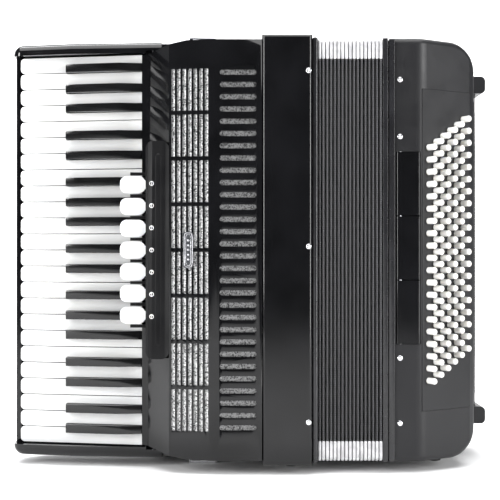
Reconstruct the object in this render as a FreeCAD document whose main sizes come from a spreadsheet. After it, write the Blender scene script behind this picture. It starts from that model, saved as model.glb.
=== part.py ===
import FreeCAD, Part
import Sketcher
import math
import os
import re

# A full-size piano accordion, closed, standing on its feet. X runs from the keyboard to the bass side,
# the audience is at -Y, and Z is up. The model is drawn about its mid height, then every sub-part is
# lifted by its Placement, so that the feet stand at Z = 0.

SIZES = {
    # whole instrument
    "mid_height": 259.5, "side_shift": 5.5, "half_body": 249.0, "front_y": -105.0, "back_y": 98.0,
    "wall": 5.0, "foot_radius": 8.0, "pin_radius": 3.2, "pin_rise": 1.2, "pin_inset": 4.4,
    "pad_rise": 8.2, "pad_left": -95.0, "pad_width": 130.0, "pad_upper": 50.0, "pad_lower": -180.0,
    "bracket_left": -83.0, "bracket_length": 32.0, "bracket_y": -31.0, "bracket_rise": 8.0,
    "bracket_radius": 2.2, "bracket_post": 4.0, "bracket_base": 1.5,
    # keyboard: the key tops lie in a plane that comes forward by key_tilt degrees towards the grille
    "keyboard_left": -297.0, "key_left": -289.5, "key_front": -26.0, "key_tilt": 10.2,
    "white_pitch": 19.5, "white_width": 18.5, "white_length": 153.0, "white_front": 58.0,
    "key_depth": 11.0, "black_width": 9.6, "black_rise": 11.0, "black_back": 2.5, "black_break": 127.5,
    "black_gap": 0.8, "black_lean": 3.2,
    "lever_width": 5.0, "axle_x": -126.0, "axle_y": -46.0, "axle_radius": 1.5, "axle_play": 0.06,
    "hub_radius": 4.5, "lever_left": -150.0, "lever_top": -50.0, "lever_low": -44.6,
    "pallet_left": -104.0, "pallet_right": -62.0, "pallet_width": 8.0,
    "bed_clear": -90.0, "bed_gap": 1.2, "bed_front": -8.0, "bed_back": -34.0, "lip_low": -15.0,
    "axle_end": 4.0, "spring_front": -33.8, "spring_face": -33.2, "spring_back": -32.6,
    "spring_length": 40.0, "spring_strip": 4.0, "spring_width": 4.0,
    "keyboard_back": 24.0, "cheek_inner": 235.0, "cheek_front": -37.0,
    "cheek_slope": 70.0, "cheek_crest": -52.0, "cheek_top": -61.0, "heel_slope": 22.0,
    "ear_right": -115.0, "ear_inner": 238.0, "cavity_left": -119.0,
    # treble casing and what it holds
    "casing_left": -133.5, "sound_y": -41.0, "panel_left": 4.3, "casing_right": 62.5,
    "board_wall": 6.0, "sound_half": 234.0, "reed_deep": 66.0, "reed_half": 205.0, "reed_first": 14.0,
    "reed_step": 30.0, "reed_wide": 22.0, "sound_left": 8.0, "sound_right": 4.0, "fit_gap": 0.2,
    "back_side": 25.0, "back_end": 45.0, "panel_step": 4.0,
    # grille cover
    "cover_half": 243.0, "cover_wall": 1.8, "foot_half": 232.0, "cover_foot": -56.0,
    "rail_left": -138.4, "taper_end": -78.0, "cavity_low": -21.0,
    "rail_right": -131.5, "rail_front": -58.5, "slant_left": -103.5, "slant_left_y": -95.5,
    "slant_right": -53.4, "slant_right_y": -103.6, "slant_end": -46.0,
    "cavity_half": 234.0, "mesh_gap": 0.15, "mesh_wall": 0.6,
    "slot_width": 4.0, "slot_height": 48.5, "slot_first": -98.7, "slot_step": 6.5, "slot_group": 53.0,
    "bar_left": -44.5, "bar_length": 42.5, "bar_height": 6.2, "bar_step": 14.13,
    "badge_start": 17.0, "badge_end": 29.0, "badge_half": 21.0, "badge_wall": 2.0,
    # register unit
    "unit_half": 126.5, "unit_left": -131.0, "unit_right": -103.5, "unit_front": -98.0,
    "paddle_left": -163.0, "paddle_right": -133.0, "paddle_top": -73.0, "paddle_low": -67.5,
    "paddle_half": 10.0, "paddle_step": 25.7, "rod_x": -127.0, "rod_y": -71.0, "rod_radius": 1.0,
    "channel_top": -75.0, "channel_low": -65.0, "channel_right": -118.5, "comb_left": -151.0,
    "comb_wall": 3.4, "hub_half": 5.0, "hub_size": 2.6, "arm_half": 2.0,
    # bellows and its two frames
    "frame_half": 246.5, "frame_opening": 232.0, "frame_side": 85.0, "treble_frame": 6.7,
    "frame_front": -101.0, "frame_back": 97.5, "fold_step": 4.43, "fold_wall": 3.0,
    "fold_half": 245.0, "fold_front": -98.0, "fold_back": 97.0, "fold_depth": 9.0, "fold_core": 7.0,
    "corner_size": 21.0, "fold_gap": 0.7, "frame_edge": 6.0, "frame_groove": 1.2,
    # bass casing
    "bass_left": 144.5, "bass_frame": 14.0, "bass_front": -93.0, "bass_half": 247.0,
    "crease_x": 190.5, "nose_x": 253.5, "bass_right": 260.0, "nose_y": -47.0, "heel_y": 70.0,
    "heel_x": 238.0, "corner_radius": 34.0, "bass_cavity": 226.0, "cavity_front": -81.0,
    "bass_block": 46.0, "block_half": 52.0, "block_step": 92.0, "block_tall": 38.0, "port_half": 5.0,
    "port_y": 25.0,
    # button board and buttons, in the board's own plane, which turns back by slant_angle degrees
    "slant_angle": 31.7, "slab_half": 188.0, "slab_length": 73.7, "slab_wall": 3.0,
    "board_ledge": 2.6, "cavity_deep": 14.0,
    "button_radius": 3.7, "button_rise": 12.0, "button_play": 0.3, "button_step": 14.33,
    "row_first": 10.4, "row_step": 10.64, "button_top": 119.8, "collar_radius": 4.2, "collar_low": 5.3,
    "stem_radius": 1.2, "stem_end": 34.0, "guide_start": 28.0, "guide_wall": 3.0, "shaft_deep": 45.0,
    "guide_left": 6.0, "shaft_radius": 2.0, "shaft_step": 6.0,
    # bass register bars
    "recess_left": 160.2, "recess_right": 189.0, "recess_floor": -87.0, "recess_top": 114.3,
    "recess_low": -109.6, "bass_bar_top": -94.5, "bass_bar_low": -89.5, "hinge_x": 166.0,
    "hinge_y": -91.5,
    # palm side
    "plate_half": 170.0, "plate_front": -38.0, "plate_back": 60.0, "air_y": 0.0, "air_z": 186.0,
    "air_radius": 7.0, "air_rise": 8.0, "strap_front": 18.0, "strap_back": 84.0, "strap_left": 271.6,
    "strap_wall": 4.0, "housing_low": 196.6, "housing_top": 217.9, "housing_front": 12.0,
    "housing_back": 92.0, "housing_right": 286.0, "wheel_radius": 9.0, "wheel_wall": 6.0,
    "wheel_x": 273.5, "wheel_gap": 0.4, "shaft_start": 7.0, "strap_end": 11.0,
}

# Places of the feet (X, Y) and the heights of the bellows pins.
TREBLE_FEET = [(-110, 18), (40, -44), (40, 78), (-110, 78)]
BASS_FEET = [(180, -10), (218, -10), (180, 78), (218, 78)]
TREBLE_PINS = [206.8, 4.0, -198.7]
BASS_PINS = [198.0, 131.8, -125.7, -201.5]

# Keys from the lowest note, at the top, to the highest.
WHITE_NOTES = "FGABCDE" * 3 + "FGA"
# How far each black key sits from the line between its two white keys, towards the higher note.
BLACK_SHIFT = {"F": -4.2, "G": 0.6, "A": 4.6, "C": -1.8, "D": 3.0}
BUTTON_ROWS = ["counterbass", "root", "major", "minor", "seventh", "diminished"]
BUTTONS_IN_ROW = 20
SLOT_COLUMNS, SLOT_GROUPS, BARS, PADDLES, FOLDS, BASS_BARS = 7, 8, 30, 7, 17, 3
REED_BLOCKS = 4
CAM_SHAFTS = 11

# Clearances and small rounds.
GAP = 0.3
KEY_GAP = 0.5
BAR_GAP = 0.7
KEY_CORNER = 5.0
CHEEK_CORNER = 11.0
CHEEK_ROUND = 12.0
CASING_ROUND = 4.0
BADGE_ROUND = 3.0
UNIT_ROUND = 9.0
PADDLE_ROUND = 8.0
BUTTON_DOME = 2.2
BAR_ROUND = 2.0
HOUSING_ROUND = 6.0
CREASE_ROUND = 25.0
CASE_ROUND = 7.0
BRACKET_ROUND = 4.0
PAD_ROUND = 6.0
AIR_ROUND = 1.5

X_AXIS = FreeCAD.Vector(1, 0, 0)
Y_AXIS = FreeCAD.Vector(0, 1, 0)
Z_AXIS = FreeCAD.Vector(0, 0, 1)
FORWARD = FreeCAD.Vector(0, -1, 0)

doc = FreeCAD.newDocument("PianoAccordion")
sheet = doc.addObject("Spreadsheet::Sheet", "Sizes")
for row, (alias, value) in enumerate(SIZES.items(), start=1):
    sheet.set(f"A{row}", alias)
    sheet.set(f"B{row}", str(value))
    sheet.setAlias(f"B{row}", alias)
doc.recompute()

WORD = re.compile(r"[a-z]+(?:_[a-z]+)+|\bwall\b")
sub_parts = []


def size(alias):
    """The value in the sheet."""
    return float(sheet.get(alias))


def bind(thing, target, formula):
    """Ties one property of a thing to a formula of size names."""
    thing.setExpression(target, WORD.sub(lambda m: "Sizes." + m.group(), str(formula)))


def place(thing, x="0", y="0", z="0"):
    for axis, formula in zip("xyz", (x, y, z)):
        bind(thing, f"Placement.Base.{axis}", formula)
    return thing


def box(x, y, z):
    """A block between two formulas along each axis."""
    block = doc.addObject("Part::Box", "Block")
    for target, span in zip(("Length", "Width", "Height"), (x, y, z)):
        bind(block, target, f"({span[1]}) - ({span[0]})")
    return place(block, x[0], y[0], z[0])


def rod(x, y, z, radius, length, direction=Z_AXIS):
    """A cylinder that starts at a point and runs along a direction."""
    bar = doc.addObject("Part::Cylinder", "Rod")
    bind(bar, "Radius", radius)
    bind(bar, "Height", length)
    bar.Placement = FreeCAD.Placement(FreeCAD.Vector(), FreeCAD.Rotation(Z_AXIS, direction))
    return place(bar, x, y, z)


def fuse(*things):
    if len(things) == 1:
        return things[0]
    joined = doc.addObject("Part::MultiFuse", "Joined")
    joined.Shapes = list(things)
    return joined


def cut(base, *tools):
    rest = doc.addObject("Part::Cut", "Rest")
    rest.Base = base
    rest.Tool = fuse(*tools)
    return rest


def rounded(base, radius, chosen):
    """Rounds the edges for which chosen(edge) is true."""
    base.recompute(True)
    found = [n for n, edge in enumerate(base.Shape.Edges, start=1) if chosen(edge)]
    fillet = doc.addObject("Part::Fillet", "Rounded")
    fillet.Base = base
    fillet.Edges = [(n, radius, radius) for n in found]
    return fillet


def along(axis, **at):
    """Picks straight edges parallel to an axis, at given places such as x=3."""
    def chosen(edge):
        ends = [v.Point for v in edge.Vertexes]
        if len(ends) != 2 or edge.Curve.TypeId != "Part::GeomLine":
            return False
        step = ends[1] - ends[0]
        across = [getattr(step, other) for other in "xyz" if other != axis]
        if any(abs(length) > 1e-4 for length in across):
            return False
        return all(any(abs(getattr(ends[0], k) - v) < 0.02 for v in places) for k, places in at.items())
    return chosen


def round_cheek_ends(half, joint_x, joint_y):
    """Picks the edges of the two end faces, apart from those where the cheeks meet the casing."""
    def chosen(edge):
        limits = edge.BoundBox
        at_end = abs(limits.ZMin - limits.ZMax) < 1e-4 and abs(abs(limits.ZMin) - half) < 1e-4
        at_joint = limits.XMin > joint_x - 0.01 and limits.YMax > joint_y - 0.01
        return at_end and not at_joint
    return chosen


def either(*choices):
    """Picks the edges that any of the choices picks."""
    return lambda edge: any(chosen(edge) for chosen in choices)


def prism(outline, half):
    """A solid with an outline in X and Y, as tall as half above and below the mid height."""
    body = doc.addObject("PartDesign::Body", "Prism")
    sketch = body.newObject("Sketcher::SketchObject", "Outline")
    plane = next(f for f in body.Origin.OriginFeatures if f.Role == "XY_Plane")
    sketch.AttachmentSupport = [(plane, "")]
    sketch.MapMode = "FlatFace"
    draw(sketch, outline)
    bind(sketch, "AttachmentOffset.Base.z", f"-({half})")
    pad = body.newObject("PartDesign::Pad", "Pad")
    pad.Profile = sketch
    bind(pad, "Length", f"2 * ({half})")
    return body


def draw(sketch, outline):
    """Draws a closed outline of straight lines, each corner tied to its two formulas."""
    count = len(outline)
    guess = [FreeCAD.Vector(number(x), number(y), 0) for x, y in outline]
    for n in range(count):
        sketch.addGeometry(Part.LineSegment(guess[n], guess[(n + 1) % count]), False)
    for n in range(count):
        sketch.addConstraint(Sketcher.Constraint("Coincident", n, 2, (n + 1) % count, 1))
    for n, (x, y) in enumerate(outline):
        for kind, formula, value in (("DistanceX", x, guess[n].x), ("DistanceY", y, guess[n].y)):
            index = sketch.addConstraint(Sketcher.Constraint(kind, -1, 1, n, 1, value))
            bind(sketch, f"Constraints[{index}]", formula)


def number(formula):
    """The value of a formula of size names, for a first drawing."""
    cell = "Z1"
    sheet.set(cell, "=" + str(formula))
    sheet.recompute()
    value = float(sheet.get(cell))
    sheet.set(cell, "")
    return value


def sub_part(label, *things):
    """Groups the solids of one sub-part under its label, lifts them off the floor and centres them."""
    group = doc.addObject("Part::Compound", label)
    group.Links = list(things)
    group.Label = label
    place(group, x="side_shift", z="mid_height")
    sub_parts.append(group)
    return group


def turned(x, y, angle, *things):
    """Takes things drawn about an upright axis at X = Y = 0, turns them about it and moves it to (x, y)."""
    group = doc.addObject("Part::Compound", "Turned")
    group.Links = list(things)
    group.Placement = FreeCAD.Placement(FreeCAD.Vector(), FreeCAD.Rotation(Z_AXIS, angle))
    return place(group, x, y)


def both_ends(*things):
    """The things and the same things below the mid height."""
    images = []
    for thing in things:
        image = doc.addObject("Part::Mirroring", "Mirrored")
        image.Source = thing
        image.Normal = Z_AXIS
        images.append(image)
    return [*things, *images]


def common(base, tool):
    shared = doc.addObject("Part::Common", "Shared")
    shared.Base = base
    shared.Tool = tool
    return shared


def centred(half, middle="0"):
    """The span of a formula to each side of a middle."""
    return f"({middle}) - ({half})", f"({middle}) + ({half})"


# ---------------------------------------------------------------- keyboard

def white_cap(middle, top, bottom):
    """The front of a white key at full width, and its stem between the black keys."""
    front = box(("0", "white_front"), ("0", "key_depth"), centred("white_width / 2", middle))
    stem = box(("white_front - 1", "white_length"), ("0", "key_depth"), (bottom, top))
    return fuse(rounded(front, KEY_CORNER, along("y", x=[0.0])), stem)


def black_cap(middle):
    """A black key, with a leaning front and a top that falls away at the back under the switches."""
    profile = prism([
        ("white_front + black_gap", "key_depth"), ("white_front + black_gap", "-black_rise / 3"),
        ("white_front + black_lean", "-black_rise"),
        ("black_break", "-black_rise"), ("white_length", "-black_back"), ("white_length", "key_depth"),
    ], "black_width / 2")
    return turned("0", "0", 0, place(profile, z=middle))


def key(cap, middle):
    """A cap in the tilted plane of the keys, with its lever, hub and pallet."""
    lever = box(("lever_left", "pallet_right"), ("lever_top", "lever_low"),
                centred("lever_width / 2", middle))
    hub = rod("axle_x", "axle_y", f"{middle} - lever_width / 2", "hub_radius", "lever_width")
    pallet = box(("pallet_left", "pallet_right"), ("lever_low - 0.1", f"sound_y - {GAP}"),
                 centred("pallet_width / 2", middle))
    bore = rod("axle_x", "axle_y", f"{middle} - white_pitch", "axle_radius + axle_play", "2 * white_pitch")
    return cut(fuse(turned("key_left", "key_front", -size("key_tilt"), cap), lever, hub, pallet), bore)


def keyboard_keys():
    """The keys of each note, and the middle of each key's lever."""
    notes = {}
    levers = []
    last = len(WHITE_NOTES) - 1
    for n, note in enumerate(WHITE_NOTES):
        place_from_top = last / 2 - n
        middle = f"{place_from_top} * white_pitch"
        top, bottom = f"{middle} + white_width / 2", f"{middle} - white_width / 2"
        if n > 0 and WHITE_NOTES[n - 1] in BLACK_SHIFT:
            top = f"{black_middle(n - 1)} - black_width / 2 - {KEY_GAP}"
        if n < last and note in BLACK_SHIFT:
            bottom = f"{black_middle(n)} + black_width / 2 + {KEY_GAP}"
            notes.setdefault(note + "_sharp", []).append(key(black_cap(black_middle(n)), black_middle(n)))
            levers.append(black_middle(n))
        lever = f"({top} + {bottom}) / 2"
        notes.setdefault(note, []).append(key(white_cap(middle, top, bottom), lever))
        levers.append(lever)
    return notes, levers


def black_middle(n):
    """The height of the black key below white key n, counted from the top."""
    return f"({(len(WHITE_NOTES) - 2) / 2 - n} * white_pitch - ({BLACK_SHIFT[WHITE_NOTES[n]]}))"


def keyboard_body():
    """The wooden body under the keys, with a rounded cheek at each end that carries the axle."""
    block = prism([
        ("keyboard_left", "cheek_front"), ("keyboard_left + cheek_slope", "cheek_crest"),
        ("ear_right", "cheek_top"), ("ear_right", "sound_y"), ("casing_left", "sound_y"),
        ("casing_left", "keyboard_back"), ("keyboard_left + heel_slope", "keyboard_back"),
        ("keyboard_left", "keyboard_back - heel_slope"),
    ], "half_body")
    left = size("keyboard_left")
    turns = [left, left + size("heel_slope"), left + size("cheek_slope")]
    block = rounded(turned("0", "0", 0, block), CHEEK_CORNER, along("z", x=turns))
    block = rounded(block, CHEEK_ROUND,
                    round_cheek_ends(size("half_body"), size("casing_left"), size("sound_y")))
    lip = box(("keyboard_left - 1", "key_left"), ("bed_clear", "lip_low"), centred("cheek_inner"))
    between_ears = box(("casing_left", "ear_right + 1"), ("bed_clear", "sound_y + 1"), centred("ear_inner"))
    bed = prism([
        ("key_left - bed_gap", "bed_clear"), ("casing_left + 1", "bed_clear"),
        ("casing_left + 1", "bed_back"),
        ("key_left - bed_gap", "bed_front"),
    ], "cheek_inner")
    bore = axle()
    return cut(block, bed, lip, between_ears, bore)


def axle():
    """The rod that all the keys turn on, or its bore in the cheeks."""
    return rod("axle_x", "axle_y", "-half_body + axle_end", "axle_radius", "2 * (half_body - axle_end)")


def keyboard():
    sub_part("keyboard_body", keyboard_body())
    sub_part("key_axle", axle())
    notes, levers = keyboard_keys()
    for note in sorted(notes):
        sub_part("keys_" + note.lower(), *notes[note])
    fingers = [box(("casing_left - spring_length", "casing_left - spring_strip"),
                   ("spring_face", "spring_back"), centred("spring_width / 2", lever)) for lever in levers]
    strip = box(("casing_left - spring_strip", "casing_left - 0.5"), ("spring_front", "spring_back"),
                centred("cheek_inner - 1"))
    sub_part("key_springs", cut(fuse(strip, *fingers), prism_below_bed()))
    return levers


def prism_below_bed():
    """The wood under the keys, which the spring fingers stop at."""
    return prism([("key_left - bed_gap", "bed_front"), ("casing_left + 1", "bed_back"),
                  ("casing_left + 1", "keyboard_back"), ("key_left - bed_gap", "keyboard_back")], "half_body")


# ---------------------------------------------------------------- treble casing and what is inside

def treble_casing():
    shell = prism([
        ("casing_left", "sound_y"), ("panel_left", "sound_y"), ("panel_left", "front_y"),
        ("casing_right", "front_y"), ("casing_right", "back_y"), ("casing_left", "back_y"),
    ], "half_body")
    shell = rounded(turned("0", "0", 0, shell), CASING_ROUND,
                    either(along("z", y=[size("back_y")]), along("z", y=[size("front_y")]),
                           along("x", y=[size("front_y")]), along("x", y=[size("back_y")])))
    inside = box(("casing_left + wall", "casing_right + 1"), ("sound_y + wall", "back_y - wall"),
                 centred("half_body - wall"))
    panel_inside = box(("panel_left + wall", "casing_right + 1"), ("front_y + wall", "sound_y + 2 * wall"),
                       centred("half_body - wall - panel_step"))
    sound_opening = box(("casing_left + sound_left", "panel_left - sound_right"),
                        ("sound_y - 1", "sound_y + wall + 1"), centred("sound_half"))
    back_opening = box(("casing_left + back_side", "casing_right - back_side"),
                       ("back_y - wall - 1", "back_y + 1"), centred("half_body - back_end"))
    sub_part("treble_casing", cut(shell, inside, panel_inside, sound_opening, back_opening))
    sub_part("back_cover", box((f"casing_left + back_side + {GAP}", f"casing_right - back_side - {GAP}"),
                               ("back_y - wall", "back_y"), centred(f"half_body - back_end - {GAP}")))


def treble_inside(levers):
    board = box(("casing_left + sound_left + fit_gap", "panel_left - sound_right - fit_gap"),
                ("sound_y", "sound_y + wall"), centred("sound_half - fit_gap"))
    holes = [box(("pallet_left + 4", "pallet_right - 4"), ("sound_y - 1", "sound_y + wall + 1"),
                 centred("pallet_width / 2 - 2", lever)) for lever in levers]
    sub_part("treble_soundboard", cut(board, *holes))
    blocks = []
    for n in range(REED_BLOCKS):
        left = f"casing_left + reed_first + {n} * reed_step"
        blocks.append(box((left, f"{left} + reed_wide"), ("sound_y + wall", "sound_y + wall + reed_deep"),
                          centred("reed_half")))
    sub_part("treble_reed_blocks", *blocks)


# ---------------------------------------------------------------- grille cover

def cover_outline(inset):
    """The cover's section: a low rail over the key levers, a steep wall, the grille and its front.

    With an inset, the same section drawn in by it, from the ears rightwards.
    """
    slope = "(slant_left_y - rail_front) / (slant_left - rail_right)"
    outline = [("rail_left", "cover_foot"), ("rail_left", "rail_front"), ("rail_right", "rail_front")]
    if inset != "0":
        wall_front = f"rail_front + (cavity_left - rail_right) * {slope} + 1.8 * ({inset})"
        outline = [("cavity_left", "cavity_low"), ("cavity_left", wall_front)]
    return outline + [
        (f"slant_left + 0.6 * ({inset})", f"slant_left_y + ({inset})"),
        (f"slant_right + 0.2 * ({inset})", f"slant_right_y + ({inset})"),
        ("slant_end", f"front_y + ({inset})"), (f"panel_left - ({inset})", f"front_y + ({inset})"),
    ]


def cover_solid():
    """The cover as if it were solid, with the ends drawn in towards the keyboard."""
    outline = cover_outline("0") + [("panel_left", "sound_y"), ("cavity_left", "sound_y"),
                                    ("cavity_left", "cover_foot")]
    block = turned("0", "0", 0, prism(outline, "cover_half"))
    rise = size("cover_half") - size("foot_half")
    slope = math.degrees(math.atan2(rise, size("taper_end") - size("casing_left")))
    wedge = doc.addObject("Part::Box", "Wedge")
    bind(wedge, "Length", "panel_left - rail_left")
    bind(wedge, "Width", "2 * cover_half")
    bind(wedge, "Height", "cover_half")
    wedge.Placement = FreeCAD.Placement(FreeCAD.Vector(), FreeCAD.Rotation(Y_AXIS, -slope))
    place(wedge, "rail_left", "-cover_half", "foot_half")
    return cut(block, *both_ends(wedge))


def grille_cover():
    cavity = prism(cover_outline("cover_wall") + [("panel_left - cover_wall", "cavity_low")],
                   "cavity_half")
    steps = [step + 0.5 for step in range(-SLOT_GROUPS // 2, SLOT_GROUPS // 2)]
    slots = [box(centred("slot_width / 2", f"slot_first + {column} * slot_step"),
                 ("front_y - 5", "cover_foot"), centred("slot_height / 2", f"{step} * slot_group"))
             for column in range(SLOT_COLUMNS) for step in steps]
    bars = []
    for n in range(BARS):
        middle = f"{n - (BARS - 1) / 2} * bar_step"
        bars.append(box(("bar_left + bar_height / 2", "bar_left + bar_length - bar_height / 2"),
                        ("front_y - 5", "cover_foot"), centred("bar_height / 2", middle)))
        for x in ("bar_left + bar_height / 2", "bar_left + bar_length - bar_height / 2"):
            bars.append(rod(x, "cover_foot", middle, "bar_height / 2", "60", FORWARD))
    sub_part("grille_cover", cut(cover_solid(), cavity, *slots, *bars))


def grille_mesh():
    outer = cover_outline("cover_wall + mesh_gap")
    inner = cover_outline("cover_wall + mesh_gap + mesh_wall")
    sub_part("grille_mesh", prism(outer[2:] + inner[:1:-1], "cavity_half - 1"))


def badge():
    plate = box(("badge_start", "badge_end"), ("-badge_wall", "0"), centred("badge_half"))
    rise = size("slant_right_y") - size("slant_left_y")
    slope = math.degrees(math.atan2(rise, size("slant_right") - size("slant_left")))
    plate = rounded(plate, BADGE_ROUND, along("y"))
    sub_part("badge", turned("slant_left", "slant_left_y", slope, plate))


# ---------------------------------------------------------------- treble register unit

def register_unit():
    section = prism([
        ("unit_left", "cover_foot + 2"), ("unit_left", "unit_front + 6"), ("unit_left + 3", "unit_front + 2"),
        ("unit_left + 8", "unit_front"), ("unit_right - 5", "unit_front"), ("unit_right", "unit_front + 2"),
        ("unit_right", "cover_foot + 2"),
    ], "unit_half")
    block = rounded(turned("0", "0", 0, section), UNIT_ROUND, along("y"))
    block = cut(block, cover_solid(), box(("unit_left - 1", "ear_right"), ("rail_front", "0"),
                                          centred("half_body")))
    channel = box(("unit_left - 1", "channel_right"), ("channel_top", "channel_low"),
                  centred("3 * paddle_step + paddle_half + 2"))
    combs = [box(("comb_left", "channel_right + 0.5"), ("paddle_top", "channel_low - 0.5"),
                 centred("comb_wall / 2", f"{n - PADDLES / 2} * paddle_step")) for n in range(PADDLES + 1)]
    shaft = rod("rod_x", "rod_y", "-3.5 * paddle_step", "rod_radius", "7 * paddle_step")
    sub_part("register_unit", cut(fuse(cut(block, channel), *combs, shaft), cover_solid()))
    for n in range(PADDLES):
        middle = f"{(PADDLES - 1) / 2 - n} * paddle_step"
        plate = box(("paddle_left", "paddle_right"), ("paddle_top", "paddle_low"),
                    centred("paddle_half", middle))
        plate = rounded(plate, PADDLE_ROUND, along("y"))
        arm = box(("paddle_right - hub_half", "rod_x"), centred("arm_half", "rod_y"),
                  centred("hub_half", middle))
        hub = rod("rod_x", "rod_y", f"{middle} - hub_half", "hub_size", "2 * hub_half")
        bore = rod("rod_x", "rod_y", f"{middle} - paddle_step / 2", "rod_radius + axle_play", "paddle_step")
        sub_part(f"register_switch_{n + 1}", cut(fuse(plate, arm, hub), bore))


# ---------------------------------------------------------------- bellows

def ring(x, y, half, opening_y, opening_half):
    """A rectangular frame round an opening along X."""
    opening = box((f"{x[0]} - 1", f"{x[1]} + 1"), opening_y, centred(opening_half))
    return cut(box(x, y, centred(half)), opening)


def bellows():
    start = "(casing_right + treble_frame)"
    opening = ("-frame_side + 3", "frame_side - 3")
    core_y = ("fold_front + fold_depth", "fold_back - fold_depth")
    core_inside = (f"{core_y[0]} + fold_core", f"{core_y[1]} - fold_core")
    core = ring((start, "bass_left"), core_y, "fold_half - fold_depth", core_inside,
                "fold_half - fold_depth - fold_core")
    bars, corners = [], []
    for n in range(FOLDS):
        left = f"({start} + {n} * fold_step + fold_gap)"
        x = (left, f"{left} + fold_wall")
        for y in (("fold_front", core_y[0]), (core_y[1], "fold_back")):
            bars.append(box(x, y, centred("fold_half - corner_size")))
        bars += both_ends(box(x, ("fold_front + corner_size", "fold_back - corner_size"),
                              ("fold_half - fold_depth", "fold_half")))
        for y in (("fold_front", "fold_front + corner_size"), ("fold_back - corner_size", "fold_back")):
            plate = box(x, y, ("fold_half - corner_size", "fold_half"))
            hollow = box((start, "bass_left"), core_y, centred("fold_half - fold_depth"))
            corners += both_ends(cut(plate, hollow))
    sub_part("bellows_folds", fuse(core, *bars))
    sub_part("bellows_corners", *corners)
    side = ("-frame_side", "frame_side")
    faces = ("frame_front", "frame_back")
    sub_part("treble_bellows_frame",
             ring(("casing_right", start), faces, "frame_half", side, "frame_opening"))
    edge, groove = "(bass_left + frame_edge)", "(bass_left + frame_edge + frame_groove)"
    steps = [
        (("bass_left", edge), ("fold_front + 1", "frame_back"), "frame_half - 0.7"),
        ((edge, groove), ("fold_front + 4", "frame_back - 3"), "frame_half - 3.5"),
        ((groove, "bass_left + bass_frame"), ("fold_front + 2.5", "frame_back - 0.5"), "frame_half - 1.2"),
    ]
    sub_part("bass_bellows_frame", fuse(*[ring(x, y, half, side, "frame_opening") for x, y, half in steps]))


# ---------------------------------------------------------------- bass casing

def on_slant(*things):
    """Things drawn on the button board: X along it from the crease, -Y out of it."""
    return turned("crease_x", "bass_front", size("slant_angle"), *things)


def bass_casing():
    case_left = "(bass_left + bass_frame)"
    slant_y = f"bass_front + (nose_x - crease_x) * tan({size('slant_angle')} deg)"
    block = prism([
        (case_left, "bass_front"), ("crease_x", "bass_front"), ("nose_x", slant_y),
        ("bass_right", "nose_y"), ("bass_right", "heel_y"), ("heel_x", "back_y"), (case_left, "back_y"),
    ], "bass_half")
    outline = rounded(box(("crease_x - 80", "bass_right"), ("-200", "200"), centred("bass_half")),
                      size("corner_radius"), along("y", x=[size("bass_right")]))
    inside = prism([
        (f"{case_left} - 1", "cavity_front"), ("recess_right - 1", "cavity_front"),
        ("crease_x + 0.1", "bass_front + 4.5"), ("nose_x - 2.6", f"{slant_y} + 2.8"),
        ("bass_right - wall", "nose_y + 2"), ("bass_right - wall", "heel_y - 2"),
        ("heel_x - 2", "back_y - wall"), (f"{case_left} - 1", "back_y - wall"),
    ], "bass_cavity")
    slab_opening = on_slant(box(("0.4", "slab_length + 0.6"), ("-3", "slab_wall + 0.2"),
                                centred("slab_half")))
    way_through = on_slant(box(("board_ledge", "slab_length + 1 - board_ledge"), ("0", "cavity_deep"),
                               centred("slab_half - board_ledge")))
    recess = box(("recess_left", "recess_right"), ("bass_front - 1", "recess_floor"),
                 ("recess_low", "recess_top"))
    plate_opening = box(("bass_right - wall - 2", "bass_right + 1"), ("plate_front", "plate_back"),
                        centred("plate_half"))
    air_hole = rod("bass_right - 20", "air_y", "air_z", f"air_radius + {GAP}", "40", X_AXIS)
    block = rounded(common(block, outline), CREASE_ROUND, along("z", x=[size("crease_x")]))
    block = rounded(block, CASE_ROUND, on_front(size("bass_left") + size("bass_frame")))
    shell = cut(block, inside, slab_opening, way_through, recess, plate_opening, air_hole)
    sub_part("bass_casing", shell)
    sub_part("bass_end_plate", box(("bass_right - wall", "bass_right"),
                                   (f"plate_front + {GAP}", f"plate_back - {GAP}"),
                                   centred(f"plate_half - {GAP}")))


def button_places():
    """For each row, the place across the board and the heights of its buttons."""
    for row in range(len(BUTTON_ROWS)):
        across = f"row_first + {row} * row_step"
        heights = [f"button_top + ({row / 2 - n}) * button_step" for n in range(BUTTONS_IN_ROW)]
        yield across, heights


def bass_buttons():
    holes, guide_holes = [], []
    for row, (across, heights) in enumerate(button_places()):
        buttons = []
        for height in heights:
            head = rod(across, "collar_low", height, "button_radius", "collar_low + button_rise", FORWARD)
            head = rounded(head, BUTTON_DOME, lambda edge: on_face(edge, -size("button_rise")))
            collar = rod(across, "collar_low", height, "collar_radius", "2", FORWARD)
            stem = rod(across, "stem_end", height, "stem_radius", "stem_end - 4", FORWARD)
            buttons.append(fuse(head, collar, stem))
            holes.append(rod(across, "20", height, "button_radius + button_play", "40", FORWARD))
            guide_holes.append(rod(across, "50", height, "stem_radius + 0.5", "40", FORWARD))
        sub_part("bass_buttons_" + BUTTON_ROWS[row], on_slant(*buttons))
    slab = box(("0.6", "slab_length + 0.4"), ("0", "slab_wall"), centred(f"slab_half - {GAP}"))
    sub_part("button_board", on_slant(cut(slab, *holes)))
    guide = box(("guide_left", "slab_length"), ("guide_start", "guide_start + guide_wall"),
                centred("slab_half - 2"))
    ends = both_ends(box(("guide_left", "slab_length"), ("guide_start", "shaft_deep + 5"),
                         ("slab_half - 2", "slab_half + 1")))
    shafts = [rod(f"guide_left + 4 + {n} * shaft_step", "shaft_deep", "-slab_half + 2", "shaft_radius",
                  "2 * slab_half - 4") for n in range(CAM_SHAFTS)]
    sub_part("bass_mechanism", on_slant(fuse(cut(guide, *guide_holes), *ends, *shafts)))


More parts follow.
